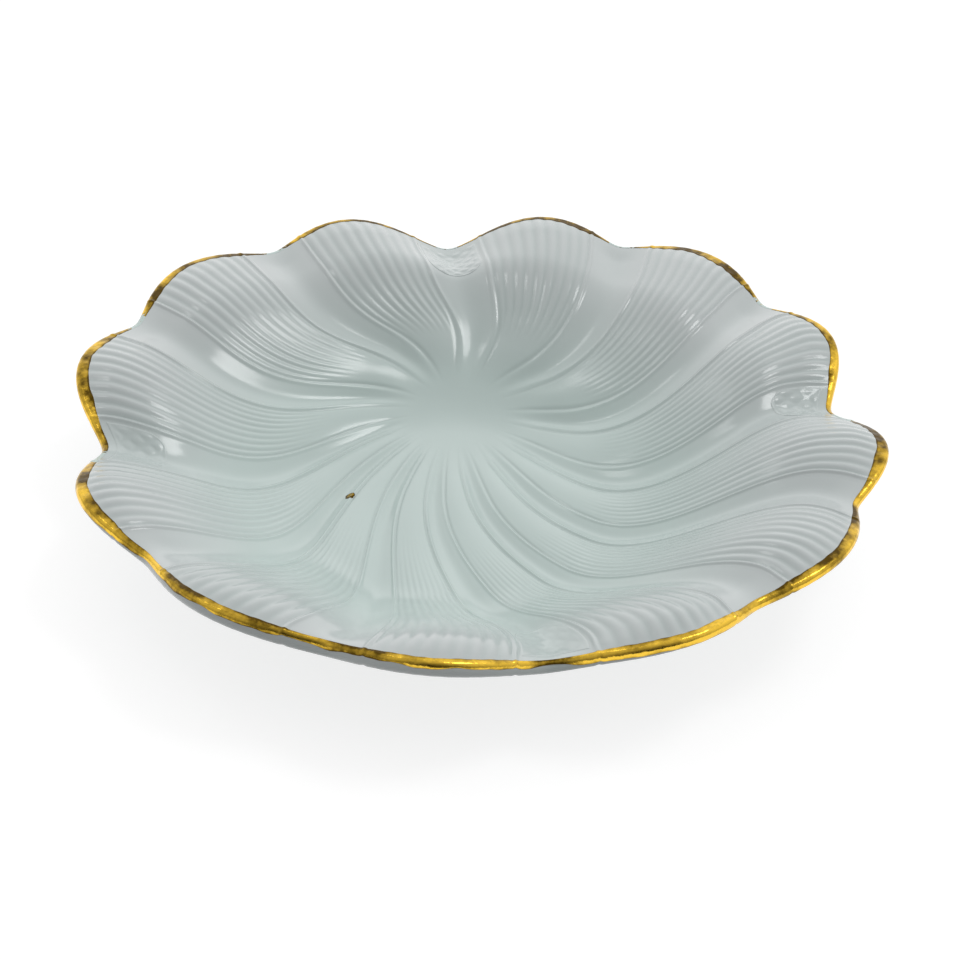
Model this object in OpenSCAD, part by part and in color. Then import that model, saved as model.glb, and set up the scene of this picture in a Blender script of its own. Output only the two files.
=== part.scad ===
// Scalloped dessert plate: a dished porcelain shell whose twelve fluted lobes
// swirl into an off-centre eye, standing on a turned foot ring, with a gilt
// edge and four small lattice panels beside the deep notches of the rim.
// +Z is up, z = 0 is the surface the plate stands on, and the vertical axis
// passes through the middle of the scalloped outline. Bearings are in degrees,
// clockwise from +Y as seen from above, so bearing 90 is +X.

/* [Outline] */
// Radius to the tips of the lobes
tip_radius = 108.2; // [104:0.1:125]
// Radius to the shallow notches between lobes
notch_radius = 102.6; // [99:0.1:106]
// Radius to the deep notches
deep_notch_radius = 97; // [94:0.1:101]
// Number of deep notches round the rim
deep_notches = 4; // [3:1:6]
// Lobes between one deep notch and the next
lobes_between = 3; // [2:1:4]
// Bearing either side of a deep notch over which it dies away
deep_notch_spread = 12; // [5:0.5:14]
// Height of the lobe tips above the shallow notches
lobe_lift = 3.4; // [0:0.1:8]
// Depth of the deep notches below the shallow ones
deep_notch_drop = 4.4; // [0:0.1:5]
// Bearing through which the lobes crowd together towards +X
lobe_crowding = 3; // [0:0.1:6]

/* [Dish] */
// Depth of the floor below the shallow notches
well_depth = 23; // [12:0.5:30]
// Radius of the flat floor
floor_radius = 37; // [30:1:44]
// Radius at which the slope meets the rim
slope_radius = 94; // [86:0.5:98]
// Offset of the well from the middle, along X
well_x = -6; // [-8:0.5:0]
// Offset of the well from the middle, along Y
well_y = -10; // [-12:0.5:0]
// Thickness of the shell under the floor and slope
wall = 3.8; // [3.2:0.1:6]
// Thickness of the rounded rim edge
edge_thickness = 2.4; // [1.6:0.1:3.2]

/* [Swirl] */
// Offset of the eye of the swirl from the middle, along X
eye_x = 0; // [-12:0.5:12]
// Offset of the eye of the swirl from the middle, along Y
eye_y = 33.5; // [0:0.5:36]
// Mean bearing through which the flutes turn between rim and floor
swirl_turn = 20.2; // [0:0.1:32]
// How much more they turn on one side of the plate than on average
swirl_lean = 19.5; // [0:0.5:24]
// Bearing of the side on which they turn most
lean_bearing = 109; // [0:1:359]
// Bearing of the counter bend at mid radius
counter_turn = 7.7; // [0:0.1:14]

/* [Flutes] */
// Half width, as a bearing, of the plain band at a shallow notch
band_half_angle = 5.3; // [3:0.1:6]
// Half width, as a bearing, of the plain band at a deep notch
deep_band_half_angle = 5.6; // [3:0.1:6.5]
// Depth of the hollow along each plain band
band_hollow = 0.9; // [0:0.1:1.2]
// Rise of each fluted fan between two bands
fan_crown = 0.9; // [0:0.1:2]

/* [Foot ring] */
// How far outside the flat floor the foot ring joins the shell
foot_beyond_floor = 9; // [6:0.5:14]
// Width of the foot ring where it joins the shell
foot_width = 6; // [5:0.1:8]
// Height of the floor's underside above the table
foot_clearance = 2.2; // [1.2:0.1:5]
// Draw-in of each side of the ring towards the table
foot_draft = 0.9; // [0.3:0.1:1.2]
// Bevel either side of the flat standing face
foot_bevel = 0.8; // [0.3:0.1:1]

/* [Gilt edge] */
// Width of the gold on the upper face, in from the rounded edge
gilt_top = 3; // [1:0.1:3.5]
// Width of the gold on the underside, in from the rounded edge
gilt_under = 1.6; // [0.6:0.1:3]
// Thickness of the gold skin
gilt_thickness = 0.25; // [0.15:0.05:0.4]

/* [Lattice panels] */
// Distance from the rim to the outer end of a panel
panel_inset = 4.4; // [3.8:0.1:6]
// Length of a panel along its band
panel_length = 15; // [10:0.5:20]
// Thickness of a panel between its studs
panel_base = 0.3; // [0.2:0.05:0.6]
// Height of the pyramid studs above the band
stud_height = 1.2; // [0.7:0.05:1.6]

/* [Hidden] */

porcelain = "#dfe7e4";
porcelain_shade = "#cdd8d4";
gold = "#b08a3c";

lobe_count = deep_notches * lobes_between;
pitch = 360 / lobe_count;
deep_pitch = 360 / deep_notches;
edge_half = edge_thickness / 2;
rim_height = foot_clearance + wall + well_depth;
foot_inner_radius = floor_radius + foot_beyond_floor;
foot_outer_radius = foot_inner_radius + foot_width;
well = [well_x, well_y];
eye = [eye_x, eye_y];

// How sharply a notch is rounded: 0 is a cusp, larger is softer.
notch_round_share = 0.2;
// Shares of the way from the eye to the rim
rim_wave_from_share = 0.45;
under_wave_from_share = 0.6;
drop_from_share = 0.7;
swirl_from_share = 0.3;
swirl_to_share = 0.95;
counter_at_share = 0.54;
counter_width_share = 0.3;
straight_rim_share = 0.15;
relief_from_share = 0.12;
relief_full_share = 0.32;
relief_edge_share = 0.08;
thin_from_share = 0.8;
eye_drift_to_share = 0.9;

// Steps round one pitch: across the plain band, then across the fan.
band_steps = 4;
fan_steps = 10;
pitch_steps = band_steps + fan_steps;
columns = lobe_count * pitch_steps;
inner_rows = 13;
panel_rows = 4;
under_rows = 7;
edge_angles = [45, 0, -45];
halvings = 20;

// Smooth step from 0 to 1 and a bell of height 1.
function held(t) = min(1, max(0, t));
function ease(t) = held(t) * held(t) * (3 - 2 * held(t));
function bell(t) = exp(-t * t);
function toward(bearing) = [sin(bearing), cos(bearing)];
function deep_offset(a) = a - deep_pitch * round(a / deep_pitch);
function notch_offset(a) = a - pitch * round(a / pitch);

// The rim: lobe is 0 in a notch and 1 on a lobe tip, deep is 1 in a deep notch.
function lobe(a) =
    let (soft = notch_round_share, full = sqrt(1 + soft * soft) - soft, wave = sin(a * lobe_count / 2))
    (sqrt(wave * wave + soft * soft) - soft) / full;
function deep(a) = bell(deep_offset(a) / deep_notch_spread);
function rim_radius(a) =
    notch_radius + (tip_radius - notch_radius) * lobe(a) - (notch_radius - deep_notch_radius) * deep(a);
function rim_wave(a, lift_share, drop_share) =
    lobe_lift * lobe(a) * lift_share - deep_notch_drop * deep(a) * drop_share;

// The dish: flat floor, S-shaped slope and level rim about the well's own middle.
function dish_height(spot) =
    rim_height - well_depth * (1 - ease((norm(spot - well) - floor_radius) / (slope_radius - floor_radius)));

// The columns run evenly round the plate but are placed a little closer together towards +X.
function placed(a) = a - lobe_crowding * sin(a - 90);

// The swirl: how far a flow line has turned at share s of its way from eye to rim.
function swirl(s, a) =
    (swirl_turn + swirl_lean * cos(placed(a) - lean_bearing))
        * (1 - ease((s - swirl_from_share) / (swirl_to_share - swirl_from_share)))
    - counter_turn * bell((s - counter_at_share) / counter_width_share) * ease((1 - s) / straight_rim_share);

// The relief: a hollow along each plain band and a crown on each fan.
function band_half(a) = abs(deep_offset(a)) < pitch / 2 ? deep_band_half_angle : band_half_angle;
function relief_across(a) =
    let (off = abs(notch_offset(a)), half = band_half(a))
    off < half
        ? -band_hollow * (1 + cos(180 * off / half)) / 2
        : fan_crown * sin(90 * (off - half) / (pitch / 2 - half));
function relief_along(s) =
    ease((s - relief_from_share) / (relief_full_share - relief_from_share))
        * ease((1 - s) / relief_edge_share);

// Points of the upper face, the rounded edge and the underside.
function upper_spot(s, a) =
    let (reach = notch_radius - edge_half
        + (rim_radius(a) - notch_radius) * ease((s - rim_wave_from_share) / (1 - rim_wave_from_share)))
    eye * (1 - ease(s / eye_drift_to_share)) + s * reach * toward(placed(a) + swirl(s, a));
function upper_wave(s, a) = rim_wave(a,
    ease((s - rim_wave_from_share) / (1 - rim_wave_from_share)),
    ease((s - drop_from_share) / (1 - drop_from_share)));
function upper(s, a) =
    let (spot = upper_spot(s, a))
    [spot.x, spot.y, dish_height(spot) + upper_wave(s, a) + relief_across(a) * relief_along(s)];
function edge(a, tilt, reach) =
    let (top = upper(1, a), out = reach * cos(tilt) * toward(placed(a)))
    [top.x + out.x, top.y + out.y, top.z - edge_half + reach * sin(tilt)];
function under_waved(u) = ease((u - under_wave_from_share) / (1 - under_wave_from_share));
function under_spot(u, a) =
    let (reach = u * (notch_radius - edge_half) + (rim_radius(a) - notch_radius) * under_waved(u),
        centred = ease((u - seat_edge_share) / (under_centred_share - seat_edge_share)))
    well * (1 - centred) + reach * toward(placed(a));
function under_wall(u) =
    wall + (edge_thickness - wall) * ease((u - thin_from_share) / (1 - thin_from_share));
function under(u, a) =
    let (spot = under_spot(u, a))
    [spot.x, spot.y, dish_height(spot) - under_wall(u) + rim_wave(a, under_waved(u), under_waved(u))];

// The seat of the foot ring: a flat land on the underside, level with the floor under its middle.
foot_middle = [well_x + (foot_inner_radius + foot_outer_radius) / 2, well_y];
seat_height = dish_height(foot_middle) - wall;
seat_margin = (foot_outer_radius - foot_inner_radius) / 3;
seat_edge_share = (foot_outer_radius + seat_margin) / (notch_radius - edge_half);
under_centred_share = (1 + seat_edge_share) / 2;
function under_at(radius, a) = under(radius / (notch_radius - edge_half), a);
function seat_at(radius, a) =
    let (spot = well + radius * toward(placed(a)))
    [spot.x, spot.y, seat_height];

// Bearings of the columns, and shares of the rows of the upper face and of the underside.
function column_bearing(i) =
    let (cell = floor(i / pitch_steps), step = i - cell * pitch_steps,
        half = band_half(cell * pitch), next = band_half((cell + 1) * pitch))
    cell * pitch + (step <= band_steps
        ? half * (2 * step / band_steps - 1)
        : half + (pitch - half - next) * (step - band_steps) / fan_steps);
bearings = [for (i = [0:columns - 1]) column_bearing(i)];

// A panel's two ends, as shares found by halving from their distances to the deep notch.
function deep_reach(s) = s * (notch_radius - edge_half
    + (deep_notch_radius - notch_radius) * ease((s - rim_wave_from_share) / (1 - rim_wave_from_share)));
function share_at(reach, low = 0, high = 1, left = halvings) =
    let (middle = (low + high) / 2)
    left == 0 ? middle
    : deep_reach(middle) < reach ? share_at(reach, middle, high, left - 1)
    : share_at(reach, low, middle, left - 1);
panel_edge = deep_notch_radius - edge_half - panel_inset;
panel_start = share_at(panel_edge - panel_length);
panel_stop = share_at(panel_edge);
gilt_start = 1 - gilt_top / notch_radius;
gilt_stop = 1 - gilt_under / notch_radius;
panel_shares = [for (i = [0:panel_rows]) panel_start + (panel_stop - panel_start) * i / panel_rows];
inner_shares = [for (i = [1:inner_rows - 1]) panel_start * i / inner_rows];
upper_shares = concat(inner_shares, panel_shares, [gilt_start, 1]);
under_shares = [for (i = [1:under_rows]) gilt_stop + (seat_edge_share - gilt_stop) * i / under_rows];

// Faces of a tube of closed rings, each ring one longer list of points.
function ring_faces(rings, flip) = [for (r = [0:rings - 2], i = [0:columns - 1])
    let (j = (i + 1) % columns, a = r * columns + i, b = r * columns + j, c = b + columns, d = a + columns)
    each flip ? [[a, c, b], [a, d, c]] : [[a, b, c], [a, c, d]]];
function cap_faces(first, hub, flip) = [for (i = [0:columns - 1])
    let (a = first + i, b = first + (i + 1) % columns) flip ? [b, a, hub] : [a, b, hub]];

// The body: one porcelain shell from the eye over the rim to the underside.
module shell() {
    rings = concat(
        [for (s = upper_shares) [for (a = bearings) upper(s, a)]],
        [for (tilt = edge_angles) [for (a = bearings) edge(a, tilt, edge_half)]],
        [[for (a = bearings) under(1, a)], [for (a = bearings) under(gilt_stop, a)]],
        [for (u = under_shares) [for (a = bearings) under(u, a)]],
        [for (radius = [foot_outer_radius, foot_inner_radius]) [for (a = bearings) seat_at(radius, a)]],
        [[for (a = bearings) under_at(foot_inner_radius - seat_margin, a)]]
    );
    points = concat([for (ring = rings) each ring], [upper(0, 0), under(0, 0)]);
    last = len(points);
    faces = concat(
        cap_faces(0, last - 2, false),
        ring_faces(len(rings), true),
        cap_faces((len(rings) - 1) * columns, last - 1, true)
    );
    color(porcelain) polyhedron(points = points, faces = faces, convexity = 6);
}

// The turned foot: a ring with drawn-in sides and a flat standing face.
module foot_ring() {
    color(porcelain_shade)
        translate([well_x, well_y, 0])
            rotate_extrude($fn = 180)
                polygon([
                    [foot_inner_radius, seat_height],
                    [foot_inner_radius + foot_draft, foot_bevel],
                    [foot_inner_radius + foot_draft + foot_bevel, 0],
                    [foot_outer_radius - foot_draft - foot_bevel, 0],
                    [foot_outer_radius - foot_draft, foot_bevel],
                    [foot_outer_radius, seat_height]
                ]);
}

// The gold: a thin skin folded over the rim edge, its inside the shell's own outside.
module gilt_edge() {
    lift = [0, 0, gilt_thickness];
    inside = concat(
        [for (s = [gilt_start, 1]) [for (a = bearings) upper(s, a)]],
        [for (tilt = edge_angles) [for (a = bearings) edge(a, tilt, edge_half)]],
        [for (u = [1, gilt_stop]) [for (a = bearings) under(u, a)]]
    );
    outside = concat(
        [for (u = [gilt_stop, 1]) [for (a = bearings) under(u, a) - lift]],
        [for (i = [len(edge_angles) - 1:-1:0])
            [for (a = bearings) edge(a, edge_angles[i], edge_half + gilt_thickness)]],
        [for (s = [1, gilt_start]) [for (a = bearings) upper(s, a) + lift]]
    );
    rings = concat(inside, outside, [inside[0]]);
    count = (len(rings) - 1) * columns;
    points = [for (r = [0:len(rings) - 2]) each rings[r]];
    faces = [for (face = ring_faces(len(rings), false)) [for (index = face) index % count]];
    color(gold) polyhedron(points = points, faces = faces, convexity = 6);
}

// One lattice panel: a grid of pyramid studs on the plain band of a deep notch.
// Its inner end is narrowed by leaving out the two corner cells.
module lattice_panel(bearing) {
    half = deep_band_half_angle;
    across = band_steps;
    along = panel_rows;
    wide = across + 1;
    level = wide * (along + 1);
    function inside(i, j) = i >= 0 && i < across && j >= 0 && j < along;
    function kept(i, j) = inside(i, j) && !(j == 0 && (i == 0 || i == across - 1));
    function place(i, j) = upper(panel_start + (panel_stop - panel_start) * j / along,
        bearing + half * (2 * i / across - 1));
    low = [for (j = [0:along], i = [0:across]) place(i, j)];
    high = [for (p = low) p + [0, 0, panel_base]];
    studs = [for (j = [0:along - 1], i = [0:across - 1])
        (place(i, j) + place(i + 1, j) + place(i + 1, j + 1) + place(i, j + 1)) / 4 + [0, 0, stud_height]];
    cells = [for (j = [0:along - 1], i = [0:across - 1]) if (kept(i, j)) [i, j]];
    faces = [for (cell = cells)
        let (i = cell.x, j = cell.y, a = j * wide + i, b = a + 1, c = b + wide, d = a + wide,
            top = 2 * level + j * across + i)
        each concat(
            [[a, b, c], [a, c, d]],
            [for (side = [[a, b], [b, c], [c, d], [d, a]]) [level + side[1], level + side[0], top]],
            [for (side = [[a, b, i, j - 1], [b, c, i + 1, j], [c, d, i, j + 1], [d, a, i - 1, j]])
                if (!kept(side[2], side[3]))
                    each [[side[1], side[0], level + side[0]], [side[1], level + side[0], level + side[1]]]]
        )];
    color(porcelain) polyhedron(points = concat(low, high, studs), faces = faces, convexity = 4);
}

module panel_back() {
    lattice_panel(0);
}

module panel_right() {
    lattice_panel(deep_pitch);
}

module panel_front() {
    lattice_panel(2 * deep_pitch);
}

module panel_left() {
    lattice_panel(3 * deep_pitch);
}

shell();
foot_ring();
gilt_edge();
panel_back();
panel_right();
panel_front();
panel_left();
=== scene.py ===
"""Scalloped dessert plate: twelve fluted lobes that swirl into an off-centre eye, glazed and gilt."""

import math

import bpy
import numpy as np
from bpy.props import FloatProperty, IntProperty, PointerProperty, StringProperty
from bpy.types import Operator, Panel, PropertyGroup
from mathutils import Matrix, Vector


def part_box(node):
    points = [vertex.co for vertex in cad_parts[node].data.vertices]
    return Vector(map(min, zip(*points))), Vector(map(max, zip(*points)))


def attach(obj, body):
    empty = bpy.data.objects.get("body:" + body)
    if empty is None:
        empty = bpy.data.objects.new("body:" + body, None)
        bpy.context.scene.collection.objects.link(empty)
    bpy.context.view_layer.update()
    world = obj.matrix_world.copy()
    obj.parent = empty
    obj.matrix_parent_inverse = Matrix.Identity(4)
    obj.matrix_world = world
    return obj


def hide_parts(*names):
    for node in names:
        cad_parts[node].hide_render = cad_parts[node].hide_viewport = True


bl_info = {
    "name": "Scalloped dessert plate",
    "version": (1, 0, 0),
    "blender": (4, 5, 0),
    "location": "3D View > Sidebar > Plate",
    "description": "Swirl-fluted porcelain dessert plate with a gilt edge and lattice panels",
    "category": "Add Mesh",
}

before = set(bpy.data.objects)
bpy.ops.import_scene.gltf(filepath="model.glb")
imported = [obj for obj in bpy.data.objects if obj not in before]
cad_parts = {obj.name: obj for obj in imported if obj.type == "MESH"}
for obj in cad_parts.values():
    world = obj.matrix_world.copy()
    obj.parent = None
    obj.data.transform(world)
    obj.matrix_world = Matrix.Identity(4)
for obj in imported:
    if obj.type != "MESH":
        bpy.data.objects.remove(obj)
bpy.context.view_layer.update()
FOOT_LOW, FOOT_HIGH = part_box("foot_ring")
MM = 0.001
BODY = "root"
UP = np.array([0, 0, 1.0])


def length(description, millimetres):
    """A size of the plate, kept in metres."""
    return FloatProperty(description=description, default=millimetres * MM, unit="LENGTH", precision=5)


def bearing(description, degrees):
    """An angle, mostly one seen from above, clockwise from +Y."""
    return FloatProperty(description=description, default=math.radians(degrees), subtype="ANGLE")


def share(description, part):
    """A share of the way between two places, or of an amount."""
    return FloatProperty(description=description, default=part, subtype="FACTOR")


def colour(description, hexed):
    """A colour written as an sRGB hex value."""
    return StringProperty(description=description, default=hexed)


class OutlineSizes(PropertyGroup):
    """The scalloped outline of the rim."""

    tip_radius: length("Radius to the tips of the lobes", 108.2)
    notch_radius: length("Radius to the shallow notches", 102.6)
    deep_notch_radius: length("Radius to the deep notches", 97)
    deep_notches: IntProperty(description="Number of deep notches", default=4)
    lobes_between: IntProperty(description="Lobes between two deep notches", default=3)
    notch_round: share("Softness of the notches, 0 is a cusp", 0.2)
    deep_spread: bearing("Bearing over which a deep notch dies away", 12)
    lobe_lift: length("Height of the lobe tips above the shallow notches", 3.4)
    deep_drop: length("Depth of the deep notches below the shallow ones", 4.4)
    crowding: bearing("Bearing through which the lobes crowd towards +X", 3)


class DishSizes(PropertyGroup):
    """The well, the slope, the wall and the foot."""

    well_depth: length("Depth of the floor below the shallow notches", 23)
    floor_radius: length("Radius of the flat floor", 37)
    slope_radius: length("Radius at which the slope meets the rim", 94)
    wall: length("Thickness of the shell under the floor and slope", 3.8)
    edge_thickness: length("Thickness of the rounded rim edge", 2.4)
    edge_swell: length("Extra thickness where the edge was pressed thickest", 2.2)
    swell_bearing: bearing("Where the edge is thickest", 208)
    swell_spread: bearing("Bearing over which the swell dies away", 42)
    foot_clearance: length("Height of the floor's underside above the table", 2.2)
    foot_width: length("Width of the foot ring where it joins the shell", 6)
    foot_draft: length("Draw-in of each side of the ring towards the table", 0.9)
    foot_bevel: length("Rounding either side of the standing face", 0.8)


class SwirlSizes(PropertyGroup):
    """The lines that the flutes follow from the rim to the eye."""

    eye_x: length("Offset of the eye from the middle, along X", 0)
    eye_y: length("Offset of the eye from the middle, along Y", 33.5)
    turn: bearing("Mean bearing through which the flutes turn", 20.2)
    lean: bearing("How much more they turn on one side", 19.5)
    lean_bearing: bearing("Side on which they turn most", 109)
    counter: bearing("Counter bend at mid radius", 7.7)


class ReliefSizes(PropertyGroup):
    """The bands, beads and ribs pressed into the upper face, and the lattice panels."""

    band_half: bearing("Half width of a shallow notch's plain band", 5.3)
    deep_band_half: bearing("Half width of a deep notch's plain band", 5.6)
    band_hollow: length("Depth of the hollow along each plain band", 0.78)
    fan_crown: length("Rise of each fluted fan", 0.78)
    ribs: IntProperty(description="Ribs across one fan", default=9)
    rib_height: length("Height of a rib above the grooves beside it", 0.37)
    bead_height: length("Height of the bead along each band edge", 0.5)
    bead_width: length("Half width of that bead", 0.55)
    groove_depth: length("Depth of the groove on the fan's side of a bead", 0.3)
    panel_inset: length("Rim to the outer end of a lattice panel", 2)
    panel_length: length("Usual length of a panel along its band", 16.2)
    panel_border: length("Height of the rounded border of a panel", 0.12)
    cell_height: length("Height of the lattice's pillows", 0.24)
    cell_width: length("Width of one diamond of the lattice", 4.6)


class GiltSizes(PropertyGroup):
    """The fired gold on the rim."""

    top_width: length("Width of the gold on top of a lobe", 2.2)
    notch_width: length("Width of the gold on top at a notch", 0.5)
    lowest: bearing("Angle round the edge at which the gold stops", -80)
    swell_limit: bearing("That angle where the edge is thickest", 22)
    gap_at: bearing("From a side notch forward to the middle of the gap in the gold", 4)
    gap_half: bearing("Bearing over which that gap dies away", 2.9)
    thickness: length("Thickness of the gold above the glaze", 0.07)
    splash_radius: length("Radius of the splash of gold on the floor", 1.4)
    splash_share: share("Share of the way from the eye to the rim at which it lies", 0.39)
    splash_bearing: bearing("Bearing of that splash", -124)


class FinishColours(PropertyGroup):
    """The colours of the glaze, the bare foot and the gold."""

    glaze: colour("Pale blue-green glaze where it is thin", "#cbdbd7")
    glaze_rim: colour("The glaze where it has run thin on the wall and the rim", "#cad0d0")
    glaze_deep: colour("The glaze where it pools", "#a9b8b5")
    bare: colour("The unglazed standing face", "#d9d5ca")
    speck: colour("Tiny specks fired into the glaze", "#4a4338")
    gold: colour("Burnished gold", "#f7ca48")
    # The dull end of the gold, which also serves as painted shade on the rim's top face
    gold_dull_and_shaded: colour("Gold rubbed thin and dull", "#54400d")


class StageSettings(PropertyGroup):
    """The camera, as it stood for the photograph."""

    azimuth: bearing("Camera's angle round the plate, from -Y towards +X", -9.345)
    elevation: bearing("Camera's angle above the horizon", 34.771)
    roll: bearing("Camera's roll", 2.344)
    distance: length("Camera to the point that its shifts start from", 602.9)
    aim_right: length("Camera's shift to its own right", 1.3)
    aim_up: length("Camera's shift along its own up", -14.54)
    lens: FloatProperty(description="Focal length on a 36 mm sensor, in millimetres", default=85.99)


GROUPS = {
    "plate_outline": OutlineSizes,
    "plate_dish": DishSizes,
    "plate_swirl": SwirlSizes,
    "plate_relief": ReliefSizes,
    "plate_gilt": GiltSizes,
    "plate_finish": FinishColours,
    "plate_stage": StageSettings,
}


def ease(t):
    """Smooth step: 3t^2 - 2t^3 with t held between 0 and 1."""
    t = np.clip(t, 0, 1)
    return t * t * (3 - 2 * t)


def rise(x, start, stop):
    """The smooth step of x between start and stop."""
    return ease((x - start) / (stop - start))


def bell(t):
    """Bell of height 1: e to the power of minus t squared."""
    return np.exp(-t * t)


def toward(angle):
    """Unit vectors in plan along a bearing: (sin, cos)."""
    return np.stack([np.sin(angle), np.cos(angle)], -1)


def rounded_ridge(x, softness):
    """1 halfway between whole numbers and 0 at each, in a groove rounded by softness."""
    wave = np.sin(np.pi * x)
    full = math.sqrt(1 + softness * softness) - softness
    return (np.sqrt(wave * wave + softness * softness) - softness) / full


def raised(spot, height):
    """Plan points and their heights as points in space."""
    return np.concatenate([spot, height[..., None]], -1)


class Form:
    """The plate's surfaces, by the share of the way to the rim and the bearing."""

    # Where the rim's wave and its deep notches begin to be felt, and where both do underneath
    wave_from, drop_from, under_wave_from = 0.45, 0.7, 0.6
    # Where the lines turn, and the place and width of their counter bend
    swirl_from, swirl_to, counter_at, counter_width = 0.3, 0.95, 0.54, 0.3
    # Where they run more steadily, over which bearing, and what moves the end of their turn outward
    steady_at, steady_spread, steady_further = math.radians(25), math.radians(38), 0.1
    # Where the relief begins, where its broad and its fine part are full, where its beads have grown to
    # full height, and the last share of the way, over which the broad part dies down
    relief_from, relief_full, fine_full, grown_at, relief_edge = 0.12, 0.32, 0.245, 0.62, 0.08
    # What a bead and a groove have of their full size at the eye
    bead_least, groove_least = 0.12, 0.45
    # Bead half widths from a bead to its groove and to pooled glaze, and how far ribs fill the groove
    groove_aside, pool_aside, groove_filled = 1.7, 1.8, 0.6
    # Where the ribs begin and are full, and how much further in they begin at the back
    ribs_from, ribs_full, ribs_further_back = 0.42, 0.64, 0.1
    # Where the eye's offset is used up, and where the wall begins to thin towards the rim
    eye_drift_to, thin_from = 0.9, 0.8
    # How much lower the ribs are down on the slope, how much more at the front, and over which shares
    slope_soft, front_soft, soft_from, soft_to = 0.32, 0.18, 0.6, 0.9
    # How far the ribs and the beads have died down where they run over the rim, and from where
    rib_fade, bead_fade, rim_fade_from = 0.88, 0.5, 0.96
    # Softness of a rib's grooves, how unlike in height the ribs are, and two steps that set each one's
    rib_softness, rib_uneven, rib_step, fan_step = 0.34, 0.2, 5.1, 2.3
    # Bead half widths that a bead's zone of columns reaches to each side, the furthest it may reach, and
    # the columns on the middle of a band, on a zone and on a rib
    bead_zone, widest_zone, band_steps, zone_steps, rib_steps = 1.9, math.radians(3), 12, 8, 6

    def __init__(self, scene):
        self.outline, self.dish = scene.plate_outline, scene.plate_dish
        self.flow, self.relief = scene.plate_swirl, scene.plate_relief
        self.lobes = self.outline.deep_notches * self.outline.lobes_between
        self.pitch = 2 * math.pi / self.lobes
        self.deep_pitch = 2 * math.pi / self.outline.deep_notches
        self.edge_half = self.dish.edge_thickness / 2
        self.well = np.array([(FOOT_LOW.x + FOOT_HIGH.x) / 2, (FOOT_LOW.y + FOOT_HIGH.y) / 2])
        self.eye = np.array([self.flow.eye_x, self.flow.eye_y])
        self.foot_outer = (FOOT_HIGH.x - FOOT_LOW.x) / 2
        self.foot_inner = self.foot_outer - self.dish.foot_width
        self.rim_height = self.dish.foot_clearance + self.dish.wall + self.dish.well_depth
        foot_middle = self.well + [(self.foot_inner + self.foot_outer) / 2, 0]
        self.seat_height = float(self.dish_height(foot_middle)) - self.dish.wall
        self.notch_reach = self.outline.notch_radius - self.edge_half
        self.seat_margin = (self.foot_outer - self.foot_inner) / 3
        self.seat_edge = (self.foot_outer + self.seat_margin) / self.notch_reach

    def deep_offset(self, a):
        """Bearing from the nearest deep notch."""
        return a - self.deep_pitch * np.round(a / self.deep_pitch)

    def notch_offset(self, a):
        """Bearing from the nearest notch."""
        return a - self.pitch * np.round(a / self.pitch)

    def lobe(self, a):
        """0 in a notch, 1 on a lobe tip."""
        return rounded_ridge(a / self.pitch, self.outline.notch_round)

    def deep(self, a):
        """1 in a deep notch, dying away as a bell."""
        return bell(self.deep_offset(a) / self.outline.deep_spread)

    def scallop(self, a):
        """How far the rim reaches past the shallow notches."""
        lobes = self.outline.tip_radius - self.outline.notch_radius
        cut = self.outline.notch_radius - self.outline.deep_notch_radius
        return lobes * self.lobe(a) - cut * self.deep(a)

    def rim_wave(self, a, lift, drop):
        """Height of the rim's rise and fall, at shares lift and drop of its full amount."""
        outline = self.outline
        return outline.lobe_lift * self.lobe(a) * lift - outline.deep_drop * self.deep(a) * drop

    def placed(self, a):
        """The true bearing of column a, a little closer to its neighbours towards +X."""
        return a - self.outline.crowding * np.sin(a - math.pi / 2)

    def dish_height(self, spot):
        """Flat floor, S-shaped slope and level rim."""
        away = np.linalg.norm(spot - self.well, axis=-1) - self.dish.floor_radius
        slope = self.dish.slope_radius - self.dish.floor_radius
        return self.rim_height - self.dish.well_depth * (1 - ease(away / slope))

    def swirl(self, s, a):
        """Bearing through which a flow line has turned at share s: a smooth step and a counter bend.
        Behind and to the right the lines run more steadily: half of the step is a straight ramp."""
        turned = self.flow.turn + self.flow.lean * np.cos(self.placed(a) - self.flow.lean_bearing)
        back = bell(np.angle(np.exp(1j * (a - self.steady_at))) / self.steady_spread) / 2
        stop = self.swirl_to + self.steady_further * back
        way = np.clip((s - self.swirl_from) / (stop - self.swirl_from), 0, 1)
        done = ease(way) * (1 - back) + way * back
        bend = bell((s - self.counter_at) / self.counter_width) * (1 - s ** 8)
        return turned * (1 - done) - self.flow.counter * (1 - back) * bend

    def band_edge(self, a):
        """Half width of the plain band nearest to bearing a."""
        deep = np.abs(self.deep_offset(a)) < self.pitch / 2
        return np.where(deep, self.relief.deep_band_half, self.relief.band_half)

    def bead_angle(self, s):
        """A bead's half width as an angle, wider towards the eye, up to a limit."""
        wide = self.relief.bead_width / (np.maximum(s, MM) * self.notch_reach)
        return np.minimum(wide, self.widest_zone / self.bead_zone)

    def broad_relief(self, s, a):
        """A hollow along each plain band and a crown on each fan, dying down at the eye and the rim."""
        off, half = np.abs(self.notch_offset(a)), self.band_edge(a)
        hollow = -self.relief.band_hollow * (1 + np.cos(np.pi * np.minimum(off / half, 1))) / 2
        fan = np.sin(np.pi / 2 * np.clip((off - half) / (self.pitch / 2 - half), 0, 1))
        along = rise(s, self.relief_from, self.relief_full) * ease((1 - s) / self.relief_edge)
        return (hollow + self.relief.fan_crown * fan) * along

    def rib_share(self, s, a):
        """How far the ribs have risen at share s; at the back they reach further in."""
        start = self.ribs_from - self.ribs_further_back * (1 + np.cos(a)) / 2
        return ease((s - start) / (self.ribs_full - self.ribs_from))

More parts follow.
